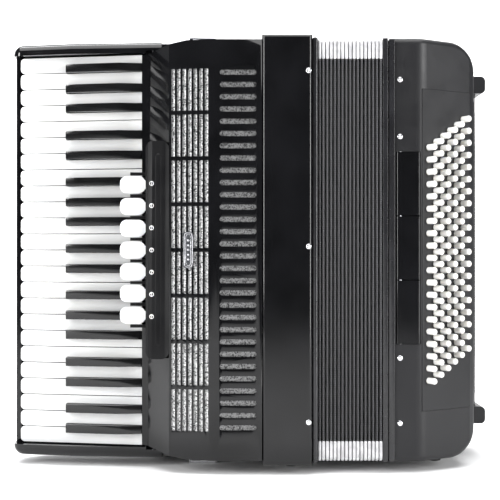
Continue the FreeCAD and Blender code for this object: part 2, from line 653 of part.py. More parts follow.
def on_front(left):
    """Picks the edges round the front of the bass casing and round its palm side."""
    def chosen(edge):
        limits = edge.BoundBox
        at_ends = abs(limits.ZMin) > 150 and abs(limits.ZMax) > 150
        return at_ends and limits.XMax > left + 0.1 and limits.YMin < 60
    return chosen


def on_face(edge, y):
    return all(abs(v.Point.y - y) < 0.01 for v in edge.Vertexes) and edge.Curve.TypeId == "Part::GeomCircle"


def bass_registers():
    height = (size("recess_top") - size("recess_low")) / BASS_BARS
    for n in range(BASS_BARS):
        low = f"recess_low + {(BASS_BARS - 1 - n) * height} + {BAR_GAP}"
        span = (low, f"{low} + {height} - {2 * BAR_GAP}")
        bar = box((f"recess_left + {BAR_GAP}", f"recess_right - {BAR_GAP}"),
                  ("bass_bar_top", "bass_bar_low"), span)
        bar = rounded(bar, BAR_ROUND, along("z", y=[size("bass_bar_top")]))
        bore = rod("hinge_x", "hinge_y", "recess_low", "rod_radius + axle_play", "recess_top - recess_low")
        sub_part(f"bass_register_bar_{n + 1}", cut(bar, bore))
    sub_part("bass_register_rod", rod("hinge_x", "hinge_y", "recess_low", "rod_radius",
                                      "recess_top - recess_low"))


def bass_inside():
    left = "(bass_left + bass_frame + 1.5)"
    board = box((left, f"{left} + board_wall"), ("cavity_front + 0.5", "back_y - wall - 0.5"),
                centred("bass_cavity - 0.5"))
    blocks, holes = [], []
    for n in range(4):
        z = centred("block_tall", f"{n - 1.5} * block_step")
        blocks.append(box((f"{left} - bass_block", left), centred("block_half"), z))
        holes += [box((f"{left} - 1", f"{left} + board_wall + 1"), centred("port_half", y), z)
                  for y in ("-port_y", "port_y")]
    sub_part("bass_soundboard", cut(board, *holes))
    sub_part("bass_reed_blocks", *blocks)


# ---------------------------------------------------------------- palm side, brackets, feet and pins

def palm_side():
    case = box(("bass_right", "housing_right"), ("housing_front", "housing_back"),
               ("housing_low", "housing_top"))
    case = rounded(case, HOUSING_ROUND, along("y", x=[size("housing_right")]))
    slot = box(("strap_left - 0.2", "strap_left + strap_wall + 0.2"),
               ("strap_front - 0.2", "strap_back + 0.2"), ("0", "housing_low + strap_end + 1"))
    upper, lower = both_ends(cut(case, slot))
    height = "(housing_low + housing_top) / 2"
    bore = rod("wheel_x", "housing_back - shaft_start - 0.5", height, "shaft_radius + axle_play", "40",
               Y_AXIS)
    sub_part("strap_housings", cut(upper, bore), lower)
    rim = rod("wheel_x", "housing_back + wheel_gap", height, "wheel_radius", "wheel_wall", Y_AXIS)
    shaft = rod("wheel_x", "housing_back - shaft_start", height, "shaft_radius", "shaft_start + 2", Y_AXIS)
    sub_part("strap_wheel", fuse(rim, shaft))
    sub_part("bass_strap", box(("strap_left", "strap_left + strap_wall"), ("strap_front", "strap_back"),
                               centred("housing_low + strap_end")))
    cap = rod("bass_right - 12", "air_y", "air_z", "air_radius", "air_rise + 12", X_AXIS)
    cap = rounded(cap, AIR_ROUND, lambda edge: edge.Curve.TypeId == "Part::GeomCircle"
                  and edge.BoundBox.XMin > size("bass_right") + 1)
    flange = rod("bass_right - wall - 3.3", "air_y", "air_z", "air_radius + 2", "3", X_AXIS)
    sub_part("air_button", fuse(cap, flange))


def strap_brackets():
    """A low bar on two posts at each end of the treble casing, for the shoulder straps."""
    end = "(bracket_left + bracket_length)"
    depth = centred("bracket_post / 2", "bracket_y")
    posts = [box((left, f"{left} + bracket_post"), depth, ("half_body", "half_body + bracket_rise"))
             for left in ("bracket_left", f"{end} - bracket_post")]
    bar = rod("bracket_left", "bracket_y", "half_body + bracket_rise", "bracket_radius", "bracket_length",
              X_AXIS)
    base = box(("bracket_left - bracket_post", f"{end} + bracket_post"),
               centred("2 * bracket_post", "bracket_y"), ("half_body", "half_body + bracket_base"))
    sub_part("strap_brackets", *both_ends(fuse(rounded(base, BRACKET_ROUND, along("z")), bar, *posts)))


def feet_and_pins():
    floor = "-mid_height"
    feet = [("treble_feet", TREBLE_FEET, "half_body"), ("bass_feet", BASS_FEET, "bass_half")]
    for label, places, half in feet:
        sub_part(label, *[rod(x, y, floor, "foot_radius", f"mid_height - {half}") for x, y in places])
    sub_part("treble_pins", *[rod("casing_right - pin_inset", "front_y", z, "pin_radius", "pin_rise", FORWARD)
                              for z in TREBLE_PINS])
    pin_x = "bass_left + bass_frame + 6.5"
    sub_part("bass_pins", *[rod(pin_x, "bass_front", z, "pin_radius", "pin_rise", FORWARD) for z in BASS_PINS])
    pads = [box(("pad_left", "pad_left + pad_width"), ("back_y", "back_y + pad_rise"),
                (low, f"{low} + pad_width")) for low in ("pad_upper", "pad_lower")]
    sub_part("back_pads", *[rounded(pad, PAD_ROUND, along("y")) for pad in pads])


# ---------------------------------------------------------------- making and writing

def main():
    levers = keyboard()
    treble_casing()
    treble_inside(levers)
    grille_cover()
    grille_mesh()
    badge()
    register_unit()
    bellows()
    bass_casing()
    bass_buttons()
    bass_registers()
    bass_inside()
    palm_side()
    strap_brackets()
    feet_and_pins()
    doc.recompute()
    for thing in doc.Objects:
        assert not {"Invalid", "Error"} & set(thing.State), f"{thing.Name} failed"
    for part in sub_parts:
        assert not part.Shape.isNull() and part.Shape.isValid(), f"{part.Label} is not a valid solid"
    os.makedirs("parts", exist_ok=True)
    for part in sub_parts:
        part.Shape.exportStep(f"parts/{part.Label}.step")
        print(part.Label, len(part.Shape.Solids), round(part.Shape.Volume))


main()
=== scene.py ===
import math

import bmesh
import bpy
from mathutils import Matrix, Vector


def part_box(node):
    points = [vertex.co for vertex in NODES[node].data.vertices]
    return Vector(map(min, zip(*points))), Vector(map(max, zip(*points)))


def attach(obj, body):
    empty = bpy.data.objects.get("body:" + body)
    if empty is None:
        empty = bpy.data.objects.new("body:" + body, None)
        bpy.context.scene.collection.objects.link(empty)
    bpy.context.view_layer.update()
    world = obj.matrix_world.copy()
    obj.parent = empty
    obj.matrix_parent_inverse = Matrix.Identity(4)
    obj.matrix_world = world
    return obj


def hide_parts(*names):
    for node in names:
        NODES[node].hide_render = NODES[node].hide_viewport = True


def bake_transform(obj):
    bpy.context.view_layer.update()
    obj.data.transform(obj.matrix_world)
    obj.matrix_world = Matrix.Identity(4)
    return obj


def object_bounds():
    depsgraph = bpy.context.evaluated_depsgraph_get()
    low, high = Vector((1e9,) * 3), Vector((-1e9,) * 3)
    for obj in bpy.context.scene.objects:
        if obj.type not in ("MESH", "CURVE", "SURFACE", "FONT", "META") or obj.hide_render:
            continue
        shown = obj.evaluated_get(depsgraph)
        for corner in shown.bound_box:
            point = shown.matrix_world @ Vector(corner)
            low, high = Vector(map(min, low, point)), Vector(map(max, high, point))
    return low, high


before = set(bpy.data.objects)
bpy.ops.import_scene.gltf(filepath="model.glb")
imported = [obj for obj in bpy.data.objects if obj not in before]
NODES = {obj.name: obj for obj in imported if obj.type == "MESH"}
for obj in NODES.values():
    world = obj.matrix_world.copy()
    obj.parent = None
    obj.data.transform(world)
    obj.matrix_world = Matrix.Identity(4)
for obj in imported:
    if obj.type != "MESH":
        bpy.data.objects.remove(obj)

CAD_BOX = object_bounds()
LOW, HIGH = Vector(CAD_BOX[0]), Vector(CAD_BOX[1])
CASING = [Vector(corner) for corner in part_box("treble_casing")]
MIDDLE = (CASING[0].z + CASING[1].z) / 2
MM = 0.001
NOTES = [node for node in NODES if node.startswith("keys_")]
TREBLE_PIN_HEIGHTS = (206.8, 4.0, -198.7)
BASS_PIN_HEIGHTS = (198.0, 131.8, -125.7, -201.5)
# Where the grille's mesh goes from painted light, behind the short slots, to painted shade, behind the long
# ones.
MESH_PAINTED_SHADE_SPAN = (-46 * MM, -36 * MM)
MARK_INSET = 20 * MM
MARK_RADIUS = 2.3 * MM
RIB_INSET = 12.4 * MM
RIB_HALF = 3.4 * MM
SCREW_INSET = 7 * MM
GUARD_LEG = 18.5 * MM
FOLDS = 17


# ---------------------------------------------------------------- camera, floor and light

def camera():
    """Straight at the front, level with the middle of the instrument."""
    data = bpy.data.cameras.new("camera")
    data.lens = 80.7
    data.sensor_width = 36
    data.clip_end = 50
    cam = bpy.data.objects.new("camera", data)
    distance = 1.291
    cam.location = ((LOW.x + HIGH.x) / 2 - 4 * MM, CASING[0].y - distance, MIDDLE)
    cam.rotation_euler = (math.pi / 2, 0, 0)
    bpy.context.scene.collection.objects.link(cam)
    bpy.context.scene.camera = cam


def area_light(name, place, target, size, power, colour=(1, 1, 1)):
    data = bpy.data.lights.new(name, "AREA")
    data.shape = "RECTANGLE"
    data.size, data.size_y = size
    data.energy = power
    data.color = colour
    light = bpy.data.objects.new(name, data)
    light.location = place
    light.rotation_euler = (Vector(target) - Vector(place)).to_track_quat("-Z", "Y").to_euler()
    bpy.context.scene.collection.objects.link(light)


def studio():
    """A pale floor that curves up into a pale wall, and soft boxes above and to the sides."""
    depth, bend, top, half = 3.2, 0.8, 3.2, 9.0
    profile = [(-9.0, 0.0), (depth - bend, 0.0)]
    steps = 16
    for n in range(1, steps + 1):
        turn = n / steps * math.pi / 2
        profile.append((depth - bend + bend * math.sin(turn), bend - bend * math.cos(turn)))
    profile.append((depth, top))
    verts = [(x, y, z) for x in (-half, half) for y, z in profile]
    count = len(profile)
    faces = [(n, n + 1, count + n + 1, count + n) for n in range(count - 1)]
    mesh = bpy.data.meshes.new("studio")
    mesh.from_pydata(verts, [], faces)
    mesh.shade_smooth()
    paper = bpy.data.objects.new("studio", mesh)
    bpy.context.scene.collection.objects.link(paper)
    paper.data.materials.append(paper_material())
    world = bpy.data.worlds.new("world")
    world.use_nodes = True
    background = world.node_tree.nodes["Background"]
    background.inputs["Color"].default_value = (0.82, 0.86, 0.92, 1)
    background.inputs["Strength"].default_value = 0.14
    bpy.context.scene.world = world
    bpy.context.scene.view_settings.view_transform = "Standard"
    middle = (0, 0, MIDDLE)
    area_light("top_box", (-0.1, -0.35, 1.9), middle, (2.4, 1.5), 52)
    area_light("left_box", (-1.7, -1.3, 0.75), middle, (0.5, 1.3), 42)
    area_light("right_box", (1.7, -1.3, 0.6), middle, (0.5, 1.2), 36)
    area_light("wall_box", (0, 0.9, 2.6), (0, 3.2, 0.6), (3.0, 1.2), 150)


# ---------------------------------------------------------------- materials

def material(name, colour, rough, metal=0.0):
    """A material with one shader, whose plain values are set on the shader itself."""
    mat = bpy.data.materials.new(name)
    mat.use_nodes = True
    shader = shader_of(mat)
    shader.inputs["Base Color"].default_value = (*colour, 1)
    shader.inputs["Roughness"].default_value = rough
    shader.inputs["Metallic"].default_value = metal
    return mat


def shader_of(mat):
    return mat.node_tree.nodes["Principled BSDF"]


def noise(mat, scale, detail=3.0, rough=0.5, stretch=(1, 1, 1), kind="ShaderNodeTexNoise"):
    """A noise texture over object coordinates, in metres."""
    nodes, links = mat.node_tree.nodes, mat.node_tree.links
    where = nodes.new("ShaderNodeTexCoord")
    spread = nodes.new("ShaderNodeMapping")
    spread.inputs["Scale"].default_value = stretch
    texture = nodes.new(kind)
    texture.inputs["Scale"].default_value = scale
    if kind == "ShaderNodeTexNoise":
        texture.inputs["Detail"].default_value = detail
        texture.inputs["Roughness"].default_value = rough
    links.new(where.outputs["Object"], spread.inputs["Vector"])
    links.new(spread.outputs["Vector"], texture.inputs["Vector"])
    return texture


def ramp(mat, source, stops):
    """Colours or greys by the value of a texture's output."""
    node = mat.node_tree.nodes.new("ShaderNodeValToRGB")
    mat.node_tree.links.new(source, node.inputs["Fac"])
    while len(node.color_ramp.elements) < len(stops):
        node.color_ramp.elements.new(0.5)
    for element, (at, colour) in zip(node.color_ramp.elements, stops):
        element.position = at
        element.color = colour if len(colour) == 4 else (*colour, 1)
    return node.outputs["Color"]


def bump(mat, height, strength, distance):
    node = mat.node_tree.nodes.new("ShaderNodeBump")
    node.inputs["Strength"].default_value = strength
    node.inputs["Distance"].default_value = distance
    mat.node_tree.links.new(height, node.inputs["Height"])
    mat.node_tree.links.new(node.outputs["Normal"], shader_of(mat).inputs["Normal"])


def grey(value):
    return (value, value, value)


def vary(mat, socket, texture, low, high, start=0.35, end=0.65):
    """A socket that runs from low to high with a texture."""
    low = low if isinstance(low, tuple) else grey(low)
    high = high if isinstance(high, tuple) else grey(high)
    value = ramp(mat, texture.outputs[0], [(start, low), (end, high)])
    mat.node_tree.links.new(value, shader_of(mat).inputs[socket])


def paper_material():
    mat = material("studio_paper", (0.93, 0.93, 0.93), 0.9)
    vary(mat, "Base Color", noise(mat, 3.0), (0.92, 0.92, 0.925), (0.94, 0.94, 0.94))
    return mat


def gloss_black():
    """Polished celluloid over wood: a faint ripple, and fine wiping marks in the gloss."""
    mat = material("gloss_black", (0.003, 0.003, 0.0035), 0.07)
    shader = shader_of(mat)
    shader.inputs["Specular IOR Level"].default_value = 0.4
    vary(mat, "Base Color", noise(mat, 18.0), (0.002, 0.002, 0.0023), (0.005, 0.005, 0.0058))
    vary(mat, "Roughness", noise(mat, 60.0, detail=6.0, stretch=(1, 1, 0.25)), 0.05, 0.11)
    bump(mat, noise(mat, 22.0, detail=1.0).outputs[0], 0.03, 0.0004)
    return mat


def rib_black():
    """The register housing and its rib: black, a little duller than the grille cover."""
    mat = material("rib_black", (0.006, 0.006, 0.0065), 0.4)
    shader = shader_of(mat)
    shader.inputs["Specular IOR Level"].default_value = 0.12
    vary(mat, "Base Color", noise(mat, 25.0), (0.004, 0.004, 0.0045), (0.008, 0.008, 0.0085))
    vary(mat, "Roughness", noise(mat, 120.0, detail=5.0, stretch=(1, 1, 0.2)), 0.34, 0.46)
    return mat


def satin_grey():
    """The moulded bass casing: dark grey, satin, with a fine even grain."""
    mat = material("satin_grey", (0.012, 0.012, 0.013), 0.4)
    shader = shader_of(mat)
    shader.inputs["Specular IOR Level"].default_value = 0.3
    vary(mat, "Base Color", noise(mat, 9.0), (0.010, 0.010, 0.011), (0.015, 0.015, 0.0165))
    vary(mat, "Roughness", noise(mat, 45.0, detail=5.0), 0.36, 0.46)
    bump(mat, noise(mat, 900.0, detail=2.0).outputs[0], 0.05, 0.0001)
    return mat


def key_white():
    """Cast key tops: near white, polished, slightly translucent, with a little wear and dust."""
    mat = material("key_white", (0.88, 0.88, 0.87), 0.12)
    shader = shader_of(mat)
    shader.inputs["Subsurface Weight"].default_value = 0.12
    shader.inputs["Subsurface Radius"].default_value = (0.002, 0.0018, 0.0015)
    shader.inputs["Coat Weight"].default_value = 0.4
    shader.inputs["Coat Roughness"].default_value = 0.05
    vary(mat, "Base Color", noise(mat, 14.0, stretch=(0.3, 1, 1)), (0.66, 0.665, 0.67), (0.73, 0.73, 0.72))
    vary(mat, "Roughness", noise(mat, 220.0, detail=6.0, stretch=(0.15, 1, 1)), 0.09, 0.2)
    bump(mat, noise(mat, 90.0, detail=1.0, stretch=(0.3, 1, 1)).outputs[0], 0.05, 0.0003)
    return mat


def key_black():
    mat = material("key_black", (0.004, 0.004, 0.004), 0.12)
    vary(mat, "Base Color", noise(mat, 30.0), (0.0025, 0.0025, 0.0025), (0.006, 0.006, 0.0065))
    vary(mat, "Roughness", noise(mat, 320.0, detail=6.0, stretch=(0.1, 1, 1)), 0.08, 0.17)
    return mat


def ivory(name, low, high):
    mat = material(name, high, 0.18)
    shader = shader_of(mat)
    shader.inputs["Subsurface Weight"].default_value = 0.15
    shader.inputs["Subsurface Radius"].default_value = (0.002, 0.0017, 0.0013)
    shader.inputs["Coat Weight"].default_value = 0.5
    shader.inputs["Coat Roughness"].default_value = 0.06
    vary(mat, "Base Color", noise(mat, 60.0), low, high)
    vary(mat, "Roughness", noise(mat, 400.0, detail=4.0), 0.12, 0.25)
    return mat


def silver_mesh():
    """Glittering woven metal cloth, darkened with painted shade under the long slots by the front panel."""
    mat = material("silver_mesh", (0.8, 0.8, 0.82), 0.4, 0.45)
    nodes, links = mat.node_tree.nodes, mat.node_tree.links
    shader = shader_of(mat)
    sparkle = noise(mat, 720.0, kind="ShaderNodeTexVoronoi")
    colour = ramp(mat, sparkle.outputs["Color"], [(0.18, grey(0.06)), (0.42, grey(0.6)), (0.7, grey(0.98))])
    place = nodes.new("ShaderNodeNewGeometry")
    across = nodes.new("ShaderNodeSeparateXYZ")
    links.new(place.outputs["Position"], across.inputs["Vector"])
    # Painted shade: across this span of X the mesh colour is scaled from 0.85 down to 0.24, darkest behind
    # the long slots.
    painted_shade = nodes.new("ShaderNodeMapRange")
    for name, value in (("From Min", MESH_PAINTED_SHADE_SPAN[0]), ("From Max", MESH_PAINTED_SHADE_SPAN[1]),
                        ("To Min", 0.85), ("To Max", 0.24)):
        painted_shade.inputs[name].default_value = value
    links.new(across.outputs["X"], painted_shade.inputs["Value"])
    shaded = nodes.new("ShaderNodeVectorMath")
    shaded.operation = "MULTIPLY"
    links.new(colour, shaded.inputs[0])
    links.new(painted_shade.outputs["Result"], shaded.inputs[1])
    links.new(shaded.outputs["Vector"], shader.inputs["Base Color"])
    bump(mat, sparkle.outputs["Distance"], 0.7, 0.0004)
    return mat


def chrome():
    mat = material("chrome", (0.78, 0.78, 0.8), 0.08, 1.0)
    vary(mat, "Roughness", noise(mat, 300.0, detail=5.0), 0.05, 0.14)
    vary(mat, "Base Color", noise(mat, 40.0), (0.72, 0.72, 0.74), (0.84, 0.84, 0.86))
    return mat


def steel():
    mat = material("steel", (0.5, 0.5, 0.52), 0.3, 1.0)
    vary(mat, "Roughness", noise(mat, 500.0, detail=5.0, stretch=(1, 1, 0.05)), 0.2, 0.42)
    vary(mat, "Base Color", noise(mat, 80.0), (0.42, 0.42, 0.44), (0.58, 0.58, 0.6))
    return mat


def wood():
    mat = material("wood", (0.55, 0.36, 0.2), 0.55)
    grain = noise(mat, 60.0, detail=8.0, rough=0.6, stretch=(1, 1, 0.06))
    vary(mat, "Base Color", grain, (0.36, 0.2, 0.1), (0.66, 0.45, 0.25))
    bump(mat, grain.outputs[0], 0.25, 0.0004)
    return mat


def bellows_cloth():
    """Black book cloth over card: a fine dotted weave with a dull sheen."""
    mat = material("bellows_cloth", (0.012, 0.012, 0.013), 0.5)
    shader = shader_of(mat)
    shader.inputs["Sheen Weight"].default_value = 0.25
    shader.inputs["Sheen Roughness"].default_value = 0.4
    weave = noise(mat, 900.0, kind="ShaderNodeTexVoronoi", stretch=(1, 1, 0.6))
    vary(mat, "Base Color", weave, (0.03, 0.03, 0.033), (0.006, 0.006, 0.007), 0.1, 0.7)
    vary(mat, "Roughness", noise(mat, 300.0), 0.38, 0.6)
    bump(mat, weave.outputs[0], 0.5, 0.0003)
    return mat


def binding():
    """The shiny cloth tape that is folded over the edge of each fold."""
    mat = material("binding", (0.02, 0.02, 0.022), 0.34)
    nodes, links = mat.node_tree.nodes, mat.node_tree.links
    shader = shader_of(mat)
    shader.inputs["Sheen Weight"].default_value = 0.15
    beads = nodes.new("ShaderNodeTexWave")
    beads.bands_direction = "Z"
    beads.inputs["Scale"].default_value = 121.0
    beads.inputs["Distortion"].default_value = 0.6
    where = nodes.new("ShaderNodeTexCoord")
    links.new(where.outputs["Object"], beads.inputs["Vector"])
    vary(mat, "Base Color", beads, (0.006, 0.006, 0.007), (0.055, 0.055, 0.062), 0.3, 0.75)
    vary(mat, "Roughness", noise(mat, 260.0), 0.34, 0.5)
    bump(mat, beads.outputs["Fac"], 0.5, 0.0002)
    return mat


def corner_tape():
    mat = material("corner_tape", (0.52, 0.52, 0.53), 0.4)
    shader = shader_of(mat)
    shader.inputs["Coat Weight"].default_value = 0.3
    vary(mat, "Base Color", noise(mat, 120.0), (0.40, 0.40, 0.41), (0.58, 0.58, 0.59))
    bump(mat, noise(mat, 1500.0, kind="ShaderNodeTexVoronoi").outputs[0], 0.25, 0.0001)
    return mat


def frame_black():
    mat = material("frame_black", (0.012, 0.012, 0.013), 0.2)
    vary(mat, "Roughness", noise(mat, 90.0, detail=5.0, stretch=(1, 1, 0.1)), 0.14, 0.28)
    vary(mat, "Base Color", noise(mat, 20.0), (0.009, 0.009, 0.01), (0.018, 0.018, 0.02))
    return mat


def leather():
    mat = material("leather", (0.02, 0.019, 0.018), 0.45)
    pebble = noise(mat, 650.0, kind="ShaderNodeTexVoronoi")
    vary(mat, "Base Color", noise(mat, 40.0, detail=6.0), (0.012, 0.011, 0.011), (0.03, 0.028, 0.027))
    vary(mat, "Roughness", noise(mat, 150.0, detail=4.0), 0.36, 0.58)
    bump(mat, pebble.outputs[0], 0.6, 0.0005)
    return mat


def thread():
    """Waxed grey thread, with a faint twist."""
    mat = material("thread", (0.12, 0.115, 0.11), 0.6)
    vary(mat, "Base Color", noise(mat, 1400.0, stretch=(1, 1, 0.4)), (0.07, 0.068, 0.065),
         (0.18, 0.175, 0.165))
    vary(mat, "Roughness", noise(mat, 700.0), 0.5, 0.7)
    return mat


def rubber():
    mat = material("rubber", (0.02, 0.02, 0.02), 0.7)
    vary(mat, "Base Color", noise(mat, 90.0, detail=6.0), (0.014, 0.014, 0.014), (0.03, 0.03, 0.03))
    bump(mat, noise(mat, 900.0).outputs[0], 0.3, 0.0002)
    return mat


def alloy():
    mat = material("alloy", (0.5, 0.5, 0.5), 0.4, 1.0)
    vary(mat, "Roughness", noise(mat, 200.0, detail=5.0), 0.3, 0.5)
    return mat


# ---------------------------------------------------------------- mesh helpers

def piece(name, verts, faces, mat):
    """A new mesh piece with outward normals and smooth shading, linked to the scene, with its material."""
    mesh = bpy.data.meshes.new(name)
    mesh.from_pydata(verts, [], faces)
    work = bmesh.new()
    work.from_mesh(mesh)
    bmesh.ops.recalc_face_normals(work, faces=work.faces)
    work.to_mesh(mesh)
    work.free()
    mesh.shade_smooth()
    thing = bpy.data.objects.new(name, mesh)
    bpy.context.scene.collection.objects.link(thing)
    mesh.materials.append(mat)
    return thing


class Build:
    """Collects the faces of one mesh from several simple bodies."""

    def __init__(self):
        self.verts = []
        self.faces = []

    def loft(self, loops, closed=False, caps=True):
        """Joins loops of equally many points, the first to the last as well if closed."""
        start = len(self.verts)
        count = len(loops[0])
        for loop in loops:
            self.verts += loop
        steps = len(loops) if closed else len(loops) - 1
        for n in range(steps):
            here, there = start + n * count, start + (n + 1) % len(loops) * count
            for k in range(count):
                after = (k + 1) % count
                self.faces.append((here + k, here + after, there + after, there + k))
        if caps and not closed:
            self.faces.append(tuple(range(start, start + count)))
            last = start + (len(loops) - 1) * count
            self.faces.append(tuple(range(last, last + count)))

    def lathe(self, centre, axis, profile, steps=40, ripple=0.0, teeth=0):
        """Turns a profile of (height, radius) about an axis; ripple adds teeth to the rim."""
        axis = Vector(axis).normalized()
        side = axis.orthogonal().normalized()
        other = axis.cross(side)
        widest = max(radius for height, radius in profile)
        loops = []
        for height, radius in profile:
            loop = []
            for n in range(steps):
                turn = 2 * math.pi * n / steps
                reach = radius + (ripple * math.cos(teeth * turn) if radius > widest * 0.85 else 0)
                loop.append(Vector(centre) + axis * height
                            + (side * math.cos(turn) + other * math.sin(turn)) * reach)
            loops.append(loop)
        self.loft(loops)

    def tube(self, path, radius, sides=10, closed=True):
        """A round cord along a path of points."""
        count = len(path)
        loops = []
        for n, point in enumerate(path):
            ahead = path[(n + 1) % count] if closed or n + 1 < count else point
            behind = path[n - 1] if closed or n else point
            along = (Vector(ahead) - Vector(behind)).normalized()
            side = along.cross(Vector((0.31, 1, 0.17))).normalized()
            other = along.cross(side)
            loops.append([Vector(point) + (side * math.cos(t) + other * math.sin(t)) * radius
                          for t in (2 * math.pi * k / sides for k in range(sides))])
        self.loft(loops, closed=closed)


# ---------------------------------------------------------------- bellows

def ring(low, high, radius, inset=0.0, steps=8):
    """Points round a rectangle with rounded corners in Y and Z, each with its outward direction."""
    path = []
    tight = max(radius - inset, 0.5 * MM)
    top, bottom = high.z - inset - tight, low.z + inset + tight
    back, front = high.y - inset - tight, low.y + inset + tight
    for y, z, quarter in ((back, top, 0), (front, top, 1), (front, bottom, 2), (back, bottom, 3)):
        for n in range(steps + 1):
            turn = (quarter + n / steps) * math.pi / 2
            out = Vector((0, math.cos(turn), math.sin(turn)))
            path.append((Vector((0, y, z)) + out * tight, out))
    return path


def bellows():
    """Folded cards between the frames, a bound edge on each fold, and pale guards on its corners.

    The pieces are baked in place; nothing stretches them across the slide.
    """
    low, high = [Vector(corner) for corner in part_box("bellows_corners")]
    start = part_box("treble_bellows_frame")[1][0]
    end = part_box("bass_bellows_frame")[0][0]
    length = end - start
    pitch = length / FOLDS
    radius = 5.5 * MM
    path = ring(low, high, radius)
    card = [(0.0, 15.0), (0.15, 8.5), (0.3, 3.0), (0.42, 0.9), (0.5, 0.55), (0.58, 0.9), (0.7, 3.0),
            (0.85, 8.5)]
    build = Build()
    loops = []
    for n in range(FOLDS * len(card) + 1):
        share, inset = card[n % len(card)]
        x = start + (n // len(card) + share) * pitch
        loops.append([point + Vector((x, 0, 0)) for point, out in ring(low, high, radius, inset * MM)])
    build.loft(loops, caps=False)
    cards = piece("bellows_cards", build.verts, build.faces, MATS["bellows_cloth"])
    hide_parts("bellows_folds")
    stretch(cards, start, end, start, length)
    for n in range(FOLDS):
        middle = start + (n + 0.5) * pitch
        edge = Build()
        binding = [(-1.0, 1.7), (-0.75, 0.75), (-0.3, 0.3), (0.3, 0.3), (0.75, 0.75), (1.0, 1.7), (0.0, 1.9)]
        edge.loft([[on_section(middle + x * MM, point, out, inset * MM) for x, inset in binding]
                   for point, out in path], closed=True)
        bound = piece(f"bellows_edge_{n + 1}", edge.verts, edge.faces, MATS["binding"])
        stretch(bound, start, end, middle, length)
        guards = Build()
        for quarter in range(4):
            corner = path[quarter * 9:(quarter + 1) * 9]
            guards.loft(guard_loops(corner, middle, GUARD_LEG))
        guard = piece(f"bellows_guard_{n + 1}", guards.verts, guards.faces, MATS["corner_tape"])
        if n == 0:
            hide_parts("bellows_corners")
        stretch(guard, start, end, middle, length)


def on_section(x, point, out, inset):
    """A point of the bellows' section, drawn in by a small inset."""
    return Vector((x, 0, 0)) + point - out * inset


def guard_loops(corner, middle, leg):
    """A guard bent round one corner of a fold, with legs that end in a round."""
    section = [(-1.95, 4.4), (-1.85, 1.8), (-1.5, 0.5), (-0.8, 0.05), (0.8, 0.05), (1.5, 0.5), (1.85, 1.8),
               (1.95, 4.4), (1.5, 4.4), (1.2, 1.6), (-1.2, 1.6), (-1.5, 4.4)]
    ends = [(1.0, 0.12), (0.985, 0.5), (0.95, 0.82), (0.88, 1.0), (0.45, 1.0)]
    (first, first_out), (last, last_out) = corner[0], corner[-1]
    before = Vector((0, first_out.z, -first_out.y))
    after = Vector((0, -last_out.z, last_out.y))
    places = [(first + before * leg * far, first_out, wide) for far, wide in ends]
    places += [(point, out, 1.0) for point, out in corner]
    places += [(last + after * leg * far, last_out, wide) for far, wide in reversed(ends)]
    return [[on_section(middle + x * MM * wide, point, out, (0.7 * (1 - wide) + inset) * MM)
             for x, inset in section] for point, out, wide in places]


def stretch(thing, start, end, middle, length):
    """Bakes a piece's transform into its mesh; nothing blends it across the slide."""
    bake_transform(thing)


# ---------------------------------------------------------------- leather parts

def back_pads():
    """Two padded rests with a piped edge and three sewn channels each."""
    low, high = [Vector(corner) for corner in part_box("back_pads")]
    side = high.x - low.x
    for name, bottom in (("lower", low.z), ("upper", high.z - side)):
        middle = Vector(((low.x + high.x) / 2, 0, bottom + side / 2))
        pad = Build()
        rim = [round_square(middle, low.y, side / 2 - 1.5 * MM, n / 96) for n in range(96)]
        rings = 26
        loops = []
        loops.append([Vector((p.x, low.y + 0.1 * MM, p.z)) for p in rim])
        for n in range(rings):
            share = 1 - n / rings
            loop = []
            for p in rim:
                x = middle.x + (p.x - middle.x) * share
                z = middle.z + (p.z - middle.z) * share
                loop.append(Vector((x, low.y + pad_height(x - middle.x, z - middle.z, side / 2, share), z)))
            loops.append(loop)
        pad.loft(loops)
        cushion = piece(f"back_pad_{name}", pad.verts, pad.faces, MATS["leather"])
        piping = Build()
        edge = [round_square(middle, low.y + 2.1 * MM, side / 2 - 1.9 * MM, n / 120) for n in range(120)]
        piping.tube(edge, 1.7 * MM)
        cord = piece(f"back_pad_piping_{name}", piping.verts, piping.faces, MATS["leather"])
        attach(cushion, "treble")
        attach(cord, "treble")
        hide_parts("back_pads")


def round_square(middle, y, half, share, power=7.0):
    """A point of a square with soft corners, at a share of the way round."""
    turn = 2 * math.pi * share
    c, s = math.cos(turn), math.sin(turn)
    reach = half / (abs(c) ** power + abs(s) ** power) ** (1 / power)
    return Vector((middle.x + reach * c, y, middle.z + reach * s))


def pad_height(x, z, half, share):
    """How far the pad's skin stands off the casing: crowned, drawn in at the rim and along three seams."""
    crown = (5.4 * (1 - share ** 6) ** 0.5 + 2.3 * (1 - share ** 2)) * MM
    seams = sum(math.exp(-((z - line * half) / (1.9 * MM)) ** 2) for line in (-0.45, 0.0, 0.45))
    wave = math.sin(x / MM * 1.05 + 1.3 * math.sin(z / MM * 0.4))
    pucker = 0.16 * MM * wave * math.exp(-((1 - share) / 0.25) ** 2)
    return max(0.8 * MM, crown - 2.4 * MM * min(1, seams) * (1 - share ** 6) + pucker)


